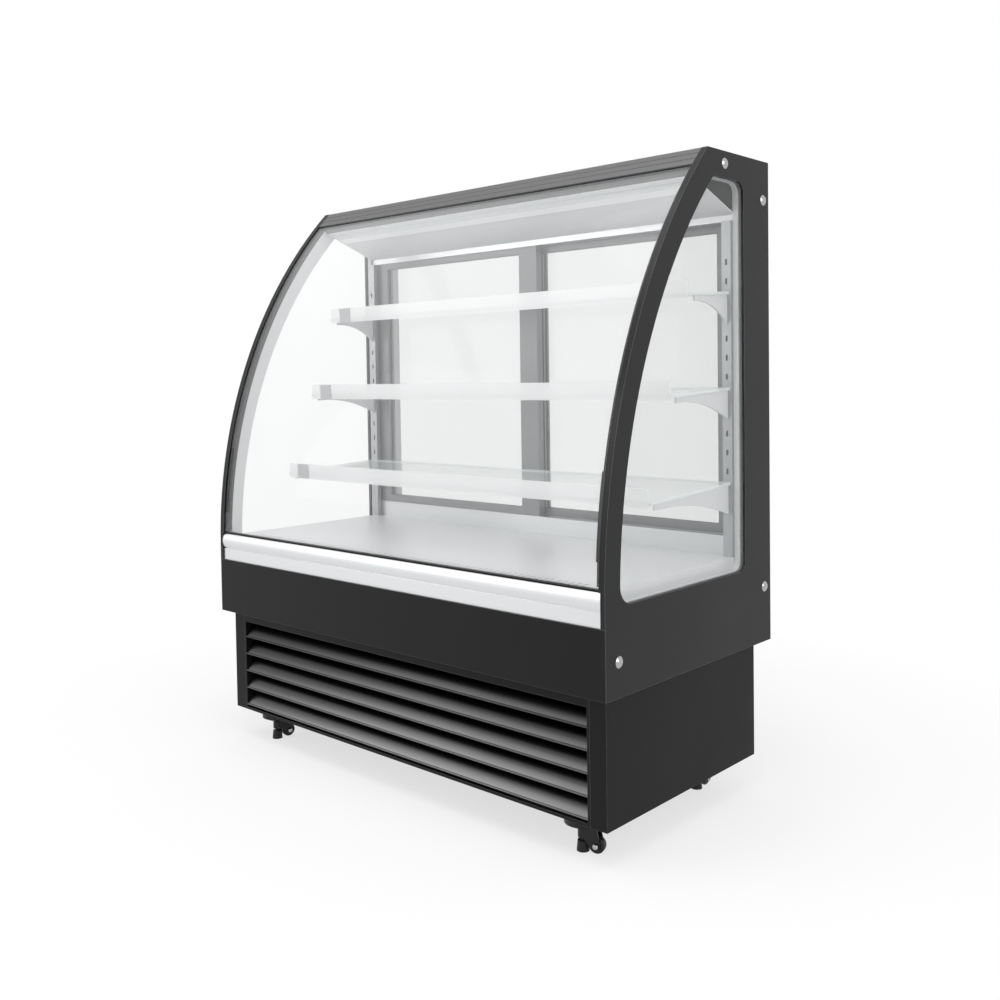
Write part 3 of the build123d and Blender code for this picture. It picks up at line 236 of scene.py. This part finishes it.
for number in range(blade_count):
    foot = Vector((-blade_half, blade_front, blade_low + number * blade_pitch))
    hub = foot + chord / 2 + square * (bend_radius - crown)
    slat = bmesh.new()
    bmesh.ops.spin(slat, geom=[slat.verts.new(foot)], cent=hub, axis=(1, 0, 0), angle=-bend,
                   steps=12, use_merge=False)
    sheet = bmesh.ops.extrude_edge_only(slat, edges=slat.edges[:])["geom"]
    bmesh.ops.translate(slat, vec=(2 * blade_half, 0, 0),
                        verts=[part for part in sheet if isinstance(part, bmesh.types.BMVert)])
    bmesh.ops.recalc_face_normals(slat, faces=slat.faces)
    if sum(face.normal.y for face in slat.faces) > 0:
        bmesh.ops.reverse_faces(slat, faces=slat.faces)
    bmesh.ops.solidify(slat, geom=slat.faces[:], thickness=blade_thick)
    lip = bmesh.ops.create_cone(slat, cap_ends=True, segments=20, radius1=lip_radius,
                                radius2=lip_radius, depth=2 * blade_half)["verts"]
    bmesh.ops.rotate(slat, cent=(0, 0, 0), matrix=Matrix.Rotation(math.pi / 2, 3, "Y"), verts=lip)
    bmesh.ops.translate(slat, vec=(0, foot.y, foot.z), verts=lip)
    bmesh.ops.recalc_face_normals(slat, faces=slat.faces)
    smooth_over(slat)
    blade = stand(slat, "louvre_blade_" + str(number + 1), blade_gloss)
    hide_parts("front_grille")
    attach(blade, "cabinet")

# Bumper: an anodised aluminium extrusion along the front, brushed along its length,
# with a rounded upper part over a fine groove and a flat lower band.
bumper_metal = coat("bumper_satin_aluminium", (0.66, 0.67, 0.68), (0.74, 0.75, 0.76), 0.38,
                    metallic=1.0, drift=(1.5, 400, 400), edge=0.0006)
seamless(bumper_metal, "bumper_rail")

# Header: a dark anodised extrusion across the top front with two fine grooves,
# and the painted sheet behind it that closes the top and folds down the rear.
header_metal = coat("header_dark_anodised", (0.10, 0.10, 0.103), (0.14, 0.14, 0.143), 0.36,
                    metallic=0.6, drift=(1.5, 300, 300), edge=0.0008)
seamless(header_metal, "header_channel")
top_coat = coat("top_powder_coat", (0.012, 0.012, 0.013), (0.016, 0.016, 0.017), 0.5,
                relief=0.12, shine=0.25)
dress(top_coat, "top_panel")

# Inside of the cabinet: white coated liners, ceiling and shelf brackets, all smooth
# and satin so that crumbs wipe off and the lamp's light spreads.
inner_white = coat("liner_satin_white", (0.66, 0.67, 0.68), (0.71, 0.72, 0.73), 0.42,
                   drift=(3, 3, 3), edge=0.0008, shine=0.3)
seamless(inner_white, "side_liners", "shelf_brackets")
ceiling_white = coat("ceiling_ribbed_white", (0.70, 0.71, 0.72), (0.80, 0.81, 0.82), 0.42,
                     drift=(0.6, 90, 90), edge=0.0006, shine=0.3)
dress(ceiling_white, "canopy_liner")

# Lamp: an aluminium channel, brushed along its length and fixed under the ceiling,
# with a milky plastic cover clipped over its strip of white diodes.
lamp_metal = coat("lamp_anodised", (0.66, 0.67, 0.68), (0.72, 0.73, 0.74), 0.35, metallic=0.9,
                  drift=(2, 300, 300))
dress(lamp_metal, "lamp_housing")
lamp_milk = coat("lamp_milky_cover", (0.92, 0.93, 0.94), (0.95, 0.96, 0.97), 0.5,
                 drift=(3, 60, 60))
dress(lamp_milk, "lamp_lens")


# Side windows: flat toughened panes bedded in the panels on a rubber ring. The glass is
# thin and clear, and reads by its reflections and by the pale line of its edge.
def pane(name, tint, haze, glare, roughness=0.02, edge_haze=None, edge_axis="X",
         edge_side="LESS_THAN"):
    """Thin glass: clear seen square on, brighter at a slant, with paler cut edges."""
    material = bpy.data.materials.new(name)
    material.use_nodes = True
    tree = material.node_tree
    place = node(tree, "ShaderNodeTexCoord", {}).outputs
    cloud = node(tree, "ShaderNodeTexNoise", {"Vector": place["Object"], "Scale": 1.6,
                                              "Detail": 1})
    pale = tuple(min(1, value * 1.03) for value in tint)
    tone = blend(tree, cloud.outputs["Fac"], (*tint, 1), (*pale, 1))
    slant = node(tree, "ShaderNodeLayerWeight", {"Blend": 0.5})
    steep = node(tree, "ShaderNodeMath", {0: slant.outputs["Facing"], 1: 3}, "POWER")
    cover = node(tree, "ShaderNodeMapRange", {"Value": steep.outputs["Value"], "To Min": haze,
                                              "To Max": glare}).outputs["Result"]
    if edge_haze is not None:
        # A cut edge is told from a face by how far its normal leans along one axis.
        facing = node(tree, "ShaderNodeSeparateXYZ", {"Vector": place["Normal"]})
        lean = node(tree, "ShaderNodeMath", {0: facing.outputs[edge_axis]}, "ABSOLUTE")
        cut = node(tree, "ShaderNodeMath", {0: lean.outputs["Value"], 1: 0.5}, edge_side)
        cover = node(tree, "ShaderNodeMix", {0: cut.outputs["Value"], 2: cover,
                                             3: edge_haze}).outputs[0]
    wire(tree, tree.nodes["Principled BSDF"], {
        "Base Color": tone, "Alpha": cover, "Roughness": roughness, "Specular IOR Level": 0.5})
    return material


side_pane = pane("side_window_glass", (0.52, 0.54, 0.54), 0.06, 0.4, edge_haze=0.6)
seamless(side_pane, "side_glass")

# Seals: rings of black rubber round the side panes, and strips of it between the front
# glass and the panels, dull and pressed between glass and steel.
rubber = coat("seal_rubber", (0.003, 0.003, 0.003), (0.007, 0.007, 0.007), 0.8,
              edge=0.0004, shine=0.04)
seamless(rubber, "glass_seals")

# Side bolts: polished steel dome heads, four at each end of the case,
# that hold each panel to the frame behind it.
bolt_steel = coat("bolt_polished_steel", (0.36, 0.36, 0.37), (0.46, 0.46, 0.47), 0.12,
                  metallic=1.0, drift=(120, 120, 120))
seamless(bolt_steel, "side_bolts")

# Front glass: one curved toughened pane that tips forward on its thin bottom rail.
# It carries a faint white glare from the room, and the rail is painted satin black.
front_pane = pane("front_curved_glass", (0.93, 0.945, 0.95), 0.055, 0.5, edge_haze=0.07,
                  edge_side="GREATER_THAN")
seamless(front_pane, "front_glass")
rail_black = coat("rail_satin_black", (0.010, 0.010, 0.010), (0.016, 0.016, 0.016), 0.3,
                  drift=(3, 200, 200))
seamless(rail_black, "front_glass_rail")

# Deck: a folded tray of brushed stainless steel with an air grille along its front,
# over a tank of thin steel skins filled with yellow foam.
deck_steel = coat("deck_brushed_steel", (0.72, 0.73, 0.74), (0.80, 0.81, 0.82), 0.4,
                  metallic=0.35, drift=(3, 500, 500), edge=0.0006)
dress(deck_steel, "deck_panel")
tank_steel = coat("tank_steel_sheet", (0.52, 0.53, 0.54), (0.60, 0.61, 0.62), 0.4,
                  metallic=0.9, drift=(4, 200, 200))
dress(tank_steel, "tank_shell", "tank_liner")
foam = coat("tank_foam", (0.78, 0.70, 0.48), (0.86, 0.79, 0.58), 0.9, drift=(90, 90, 90),
            relief=0.6, relief_size=500)
dress(foam, "tank_foam")

# Door tracks: an anodised aluminium sill and a top channel with two grooves each,
# brushed along their length, which the doors stand and slide in.
track_metal = coat("track_anodised", (0.55, 0.56, 0.57), (0.62, 0.63, 0.64), 0.36,
                   metallic=0.9, drift=(2, 300, 300), edge=0.0006)
dress(track_metal, "door_tracks")

# Sliding rear doors: grey anodised frames round clear toughened panes, on two
# nylon glides each, with a recessed finger pull in the outer stile.
door_metal = coat("door_grey_anodised", (0.20, 0.205, 0.21), (0.24, 0.245, 0.25), 0.42,
                  metallic=0.35, drift=(200, 200, 2), edge=0.0008)
dress(door_metal, "door_left_frame", "door_right_frame")
door_pane = pane("door_glass", (0.58, 0.60, 0.60), 0.18, 0.6, edge_haze=0.7, edge_axis="Y")
dress(door_pane, "door_left_glass", "door_right_glass")


# Finger pulls: thin moulded cups pressed into the pockets in the outer stiles of the doors,
# open to the rear, in black plastic with a fine texture.
def block(size):
    """A cuboid form of the given size, centred on the origin."""
    form = bmesh.new()
    bmesh.ops.create_cube(form, size=1)
    bmesh.ops.scale(form, vec=size, verts=form.verts)
    return form


def round_off(form, edges, radius, segments):
    """Round some edges of a form."""
    bmesh.ops.bevel(form, geom=edges, offset=radius, offset_type="OFFSET", segments=segments,
                    profile=0.5, affect="EDGES", material=-1, clamp_overlap=True)


pull_plastic = coat("pull_black_plastic", (0.018, 0.018, 0.019), (0.026, 0.026, 0.027), 0.5,
                    drift=(60, 60, 60), relief=0.25, relief_size=1500)
cup_wall = 0.0012
cup_sunk = 0.0039
cup_height = 0.8887
for door, x, rear_face in (("door_left", -0.544, 0.224), ("door_right", 0.544, 0.249)):
    form = block((0.0256, 0.0075, 0.1096))
    open_face = [face for face in form.faces if face.normal.y > 0.9]
    bmesh.ops.delete(form, geom=open_face, context="FACES_ONLY")
    round_off(form, [edge for edge in form.edges if not edge.is_boundary], 0.0025, 4)
    bmesh.ops.recalc_face_normals(form, faces=form.faces)
    bmesh.ops.solidify(form, geom=form.faces, thickness=cup_wall)
    bmesh.ops.recalc_face_normals(form, faces=form.faces)
    bmesh.ops.translate(form, vec=(x, rear_face - cup_sunk, cup_height), verts=form.verts)
    cup = stand(form, door + "_pull_cup", pull_plastic)
    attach(cup, door)

# Shelf standards: slotted steel strips, brushed along their height,
# screwed upright to the liners at the rear to carry the brackets.
standard_steel = coat("standard_brushed_steel", (0.32, 0.33, 0.34), (0.42, 0.43, 0.44), 0.34,
                      metallic=0.8, drift=(250, 250, 3), edge=0.0006)
dress(standard_steel, "shelf_standards")

# Shelves: three clear glass shelves that lie on the brackets,
# with ground edges that catch the light.
shelf_pane = pane("shelf_glass", (0.80, 0.85, 0.84), 0.05, 0.5, edge_haze=0.7, edge_axis="Z")
dress(shelf_pane, "glass_shelves")

# Price rails: clear plastic strips clipped over the shelf fronts, and a blank grey
# ticket in each.
rail_plastic = pane("price_rail_plastic", (0.95, 0.955, 0.96), 0.62, 0.9, roughness=0.12)
dress(rail_plastic, "price_rails")
ticket_card = coat("ticket_card", (0.44, 0.45, 0.46), (0.49, 0.50, 0.51), 0.55,
                   drift=(30, 30, 30))
dress(ticket_card, "price_tickets")

# Cooling set: finned aluminium coils, galvanised sheet, copper pipes, black plastic
# fans and a black enamelled compressor, all behind the covers.
fin_metal = coat("coil_fin_aluminium", (0.60, 0.61, 0.62), (0.70, 0.71, 0.72), 0.4,
                 metallic=1.0, drift=(60, 60, 60))
dress(fin_metal, "evaporator_coil", "condenser_coil")
zinc = coat("galvanised_sheet", (0.42, 0.44, 0.45), (0.56, 0.58, 0.59), 0.45, metallic=0.9,
            drift=(45, 45, 45))
dress(zinc, "blower_cradle", "condenser_shroud")
fan_plastic = coat("fan_black_plastic", (0.014, 0.014, 0.015), (0.024, 0.024, 0.025), 0.5,
                   drift=(30, 30, 30), relief=0.1)
seamless(fan_plastic, "blower_rotor", "condenser_fan")
enamel = coat("compressor_enamel", (0.008, 0.008, 0.009), (0.014, 0.014, 0.015), 0.22,
              drift=(20, 20, 20))
seamless(enamel, "compressor")
copper = coat("pipe_copper", (0.62, 0.30, 0.18), (0.74, 0.40, 0.26), 0.3, metallic=1.0,
              drift=(30, 30, 30))
seamless(copper, "refrigerant_pipes")

# Compressor cover: a moulded cap over the electric terminals on the side of the shell,
# with eased corners and a raised field in front, in matt black plastic.
form = block((0.05, 0.02, 0.06))
round_off(form, form.edges[:], 0.004, 3)
cap_face = max(form.faces, key=lambda face: face.calc_area() * -face.normal.y)
bmesh.ops.inset_individual(form, faces=[cap_face], thickness=0.006, depth=0.0015)
bmesh.ops.translate(form, vec=(-0.33, -0.0425, 0.165), verts=form.verts)
terminal_cover = stand(form, "compressor_terminal_cover", fan_plastic)
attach(terminal_cover, "cabinet")

# Rear controls and power inlet: a moulded black housing with three grey buttons,
# a glossy rocker for the lamp, and a nylon gland low in the service panel.
moulding = coat("control_moulding", (0.018, 0.018, 0.019), (0.024, 0.024, 0.025), 0.5,
                drift=(40, 40, 40), relief=0.3, relief_size=1500)
dress(moulding, "control_panel")
seamless(moulding, "power_inlet")
button_plastic = coat("button_grey_plastic", (0.36, 0.37, 0.38), (0.42, 0.43, 0.44), 0.45,
                      drift=(60, 60, 60), relief=0.1)
dress(button_plastic, "button_set", "button_up", "button_down")
rocker_gloss = coat("rocker_gloss_plastic", (0.010, 0.010, 0.010), (0.014, 0.014, 0.014), 0.2,
                    drift=(30, 30, 30))
dress(rocker_gloss, "lamp_rocker")

# Display: a smoked glossy window with its rim rounded over,
# pressed into the front of the controller.
smoked = coat("display_smoked_window", (0.010, 0.006, 0.006), (0.016, 0.009, 0.009), 0.08,
              drift=(40, 40, 40), varnish=1.0)
form = block((0.0336, 0.0012, 0.0176))
rim = [edge for edge in form.edges if all(vert.co.y > 0 for vert in edge.verts)]
round_off(form, rim, 0.0005, 3)
bmesh.ops.translate(form, vec=(0.3895, 0.2978, 0.420), verts=form.verts)
display = stand(form, "display_window", smoked)
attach(display, "cabinet")


# Service panel screws: eight zinc-plated pan heads with a sunk socket, driven through the
# rims of the rear panel into the floor pan and the tube ring.
def screw_head(form, base, crest, height, insets, turn, place):
    """A low turned head with a stepped crown and a socket, tipped over and set down."""
    head = bmesh.ops.create_cone(form, cap_ends=True, segments=24, radius1=base,
                                 radius2=crest, depth=height)["verts"]
    cap = max({face for vert in head for face in vert.link_faces},
              key=lambda face: face.calc_center_median().z)
    for thickness, depth in insets:
        bmesh.ops.inset_individual(form, faces=[cap], thickness=thickness, depth=depth)
    reached = 0
    while reached != len(head):
        reached = len(head)
        head = list({vert for start in head for face in start.link_faces
                     for vert in face.verts})
    bmesh.ops.rotate(form, cent=(0, 0, 0), matrix=Matrix.Rotation(turn, 3, "X"), verts=head)
    bmesh.ops.translate(form, vec=place, verts=head)


screw_zinc = coat("screw_zinc_plate", (0.42, 0.42, 0.41), (0.55, 0.55, 0.54), 0.25,
                  metallic=1.0, drift=(200, 200, 200))
panel_low, panel_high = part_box("rear_service_panel")
head_height = 0.0022
screw_inset = 0.009
screws = bmesh.new()
for x in (-0.54, -0.18, 0.18, 0.54):
    for z in (panel_low[2] + screw_inset, panel_high[2] - screw_inset):
        screw_head(screws, 0.0048, 0.0044, head_height,
                   ((0.0012, 0.0005), (0.0012, 0), (0.0004, -0.0012)), -math.pi / 2,
                   (x, panel_high[1] + head_height / 2, z))
screw_row = stand(screws, "service_panel_screws", screw_zinc)
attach(screw_row, "cabinet")

# Levelling casters: black cast bodies on bolted plates, hard nylon wheels, and a
# coned nylon foot on a screw in the middle of each.
caster_black = coat("caster_black_paint", (0.006, 0.006, 0.006), (0.010, 0.010, 0.010), 0.34,
                    drift=(60, 60, 60), relief=0.15, relief_size=700, shine=0.3)
wheel_nylon = coat("wheel_black_nylon", (0.008, 0.008, 0.008), (0.013, 0.013, 0.013), 0.42,
                   drift=(60, 60, 60), relief=0.1, shine=0.3)
dress(caster_black, "caster_plates")
corners = {"front_right": (0.485, -0.222, 17), "front_left": (-0.485, -0.222, 80),
           "rear_right": (0.485, 0.18, 90), "rear_left": (-0.485, 0.18, 90)}
for corner in corners:
    seamless(caster_black, "caster_body_" + corner)
    seamless(wheel_nylon, "caster_wheel_" + corner, "levelling_foot_" + corner)

# Axle bolts: bright domed steel heads with a sunk socket, screwed into both ends of each
# caster axle. Each pair is turned with its caster, by the degrees given for the corner.
axle_trail = 0.029
axle_height = 0.016
axle_half = 0.0147
for corner, (x, y, heading) in corners.items():
    form = bmesh.new()
    for side in (-1, 1):
        screw_head(form, 0.0056, 0.0044, head_height,
                   ((0.0012, 0.0004), (0.0010, 0), (0.0002, -0.0014)), -side * math.pi / 2,
                   (axle_trail, side * axle_half, axle_height))
    bmesh.ops.rotate(form, cent=(0, 0, 0),
                     matrix=Matrix.Rotation(math.radians(heading), 3, "Z"), verts=form.verts)
    bmesh.ops.translate(form, vec=(x, y, 0), verts=form.verts)
    bolts = stand(form, "axle_bolts_" + corner, screw_zinc)
    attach(bolts, "caster_" + corner)


# Floor: a wide pale sheet under the case. It shows white away from the case by its own
# light, in sight only, and keeps a soft shadow close to it.
def in_sight(tree):
    """One for a ray that shows the surface: direct, mirrored, or through glass."""
    ray = node(tree, "ShaderNodeLightPath", {}).outputs
    direct = node(tree, "ShaderNodeMath", {0: ray["Is Camera Ray"], 1: ray["Is Glossy Ray"]},
                  "MAXIMUM")
    passed = node(tree, "ShaderNodeMath", {0: direct.outputs["Value"],
                                           1: ray["Is Transmission Ray"]}, "MAXIMUM")
    return passed.outputs["Value"]


bpy.ops.mesh.primitive_plane_add(size=40, location=(0, 0, 0))
floor = bpy.context.object
floor.name = "floor_sheet"
floor_paint = bpy.data.materials.new("floor_pale")
floor_paint.use_nodes = True
sheet_tree = floor_paint.node_tree
matt = wire(sheet_tree, sheet_tree.nodes["Principled BSDF"], {
    "Base Color": (0.93, 0.93, 0.93, 1), "Roughness": 0.9, "Specular IOR Level": 0.1})
spot = node(sheet_tree, "ShaderNodeTexCoord", {}).outputs["Object"]
away = node(sheet_tree, "ShaderNodeVectorMath", {0: spot}, "LENGTH")
fade = node(sheet_tree, "ShaderNodeMapRange", {"Value": away.outputs["Value"], "From Min": 0.7,
                                               "From Max": 1.6, "To Min": 0.68})
whiten = node(sheet_tree, "ShaderNodeMath", {0: in_sight(sheet_tree),
                                             1: fade.outputs["Result"]}, "MULTIPLY")
white = node(sheet_tree, "ShaderNodeEmission", {"Strength": 1})
laid = node(sheet_tree, "ShaderNodeMixShader", {0: whiten.outputs["Value"],
                                                1: matt.outputs["BSDF"],
                                                2: white.outputs["Emission"]})
wire(sheet_tree, sheet_tree.nodes["Material Output"], {"Surface": laid.outputs["Shader"]})
floor.data.materials.append(floor_paint)

# Studio light: a plain white room, which shows at full white but lights the case less,
# and three large soft lamps, over it, to its left and to its right.
world = bpy.data.worlds.new("white_room")
bpy.context.scene.world = world
world.use_nodes = True
room = world.node_tree
strength = node(room, "ShaderNodeMapRange", {"Value": in_sight(room), "To Min": 0.62,
                                             "To Max": 1.0})
wire(room, room.nodes["Background"], {"Color": (1, 1, 1, 1),
                                      "Strength": strength.outputs["Result"]})


def soft_lamp(name, place, aim, size, watts):
    """A large rectangular softbox that points at the case."""
    lamp = bpy.data.lights.new(name, "AREA")
    lamp.shape = "RECTANGLE"
    lamp.size, lamp.size_y = size
    lamp.energy = watts
    holder = bpy.data.objects.new(name, lamp)
    holder.location = place
    holder.rotation_euler = (Vector(aim) - Vector(place)).to_track_quat("-Z", "Y").to_euler()
    bpy.context.scene.collection.objects.link(holder)


soft_lamp("overhead_softbox", (0.3, -0.9, 3.4), (0, 0, 0.9), (3.2, 2.4), 52)
soft_lamp("left_softbox", (-2.8, -3.2, 1.9), (0, 0, 0.7), (1.8, 2.4), 36)
soft_lamp("right_softbox", (3.4, -0.6, 1.8), (0.3, 0, 0.8), (1.6, 2.2), 30)

# Camera: at the photograph's angle, at half height and right of the front,
# turned a little down and rolled a little, as the straight edges in the photo tell.
lens = bpy.data.cameras.new("photo_camera")
lens.lens = 38.238
lens.sensor_width = 36
lens.shift_x = 0.01235
lens.shift_y = -0.08589
camera = bpy.data.objects.new("photo_camera", lens)
bpy.context.scene.collection.objects.link(camera)
bpy.context.scene.camera = camera
eye = (1.7136, -1.7951, 0.9024)
heading, tilt, roll = math.radians(132.8575), math.radians(-2.042), math.radians(-0.852)
ahead = Vector((math.cos(tilt) * math.cos(heading), math.cos(tilt) * math.sin(heading),
                math.sin(tilt)))
level = Vector((math.sin(heading), -math.cos(heading), 0))
above = level.cross(ahead)
across = level * math.cos(roll) + above * math.sin(roll)
upward = above * math.cos(roll) - level * math.sin(roll)
turned = Matrix((across, upward, -ahead)).transposed()
camera.matrix_world = Matrix.Translation(eye) @ turned.to_4x4()

bpy.context.scene.view_settings.view_transform = "Standard"
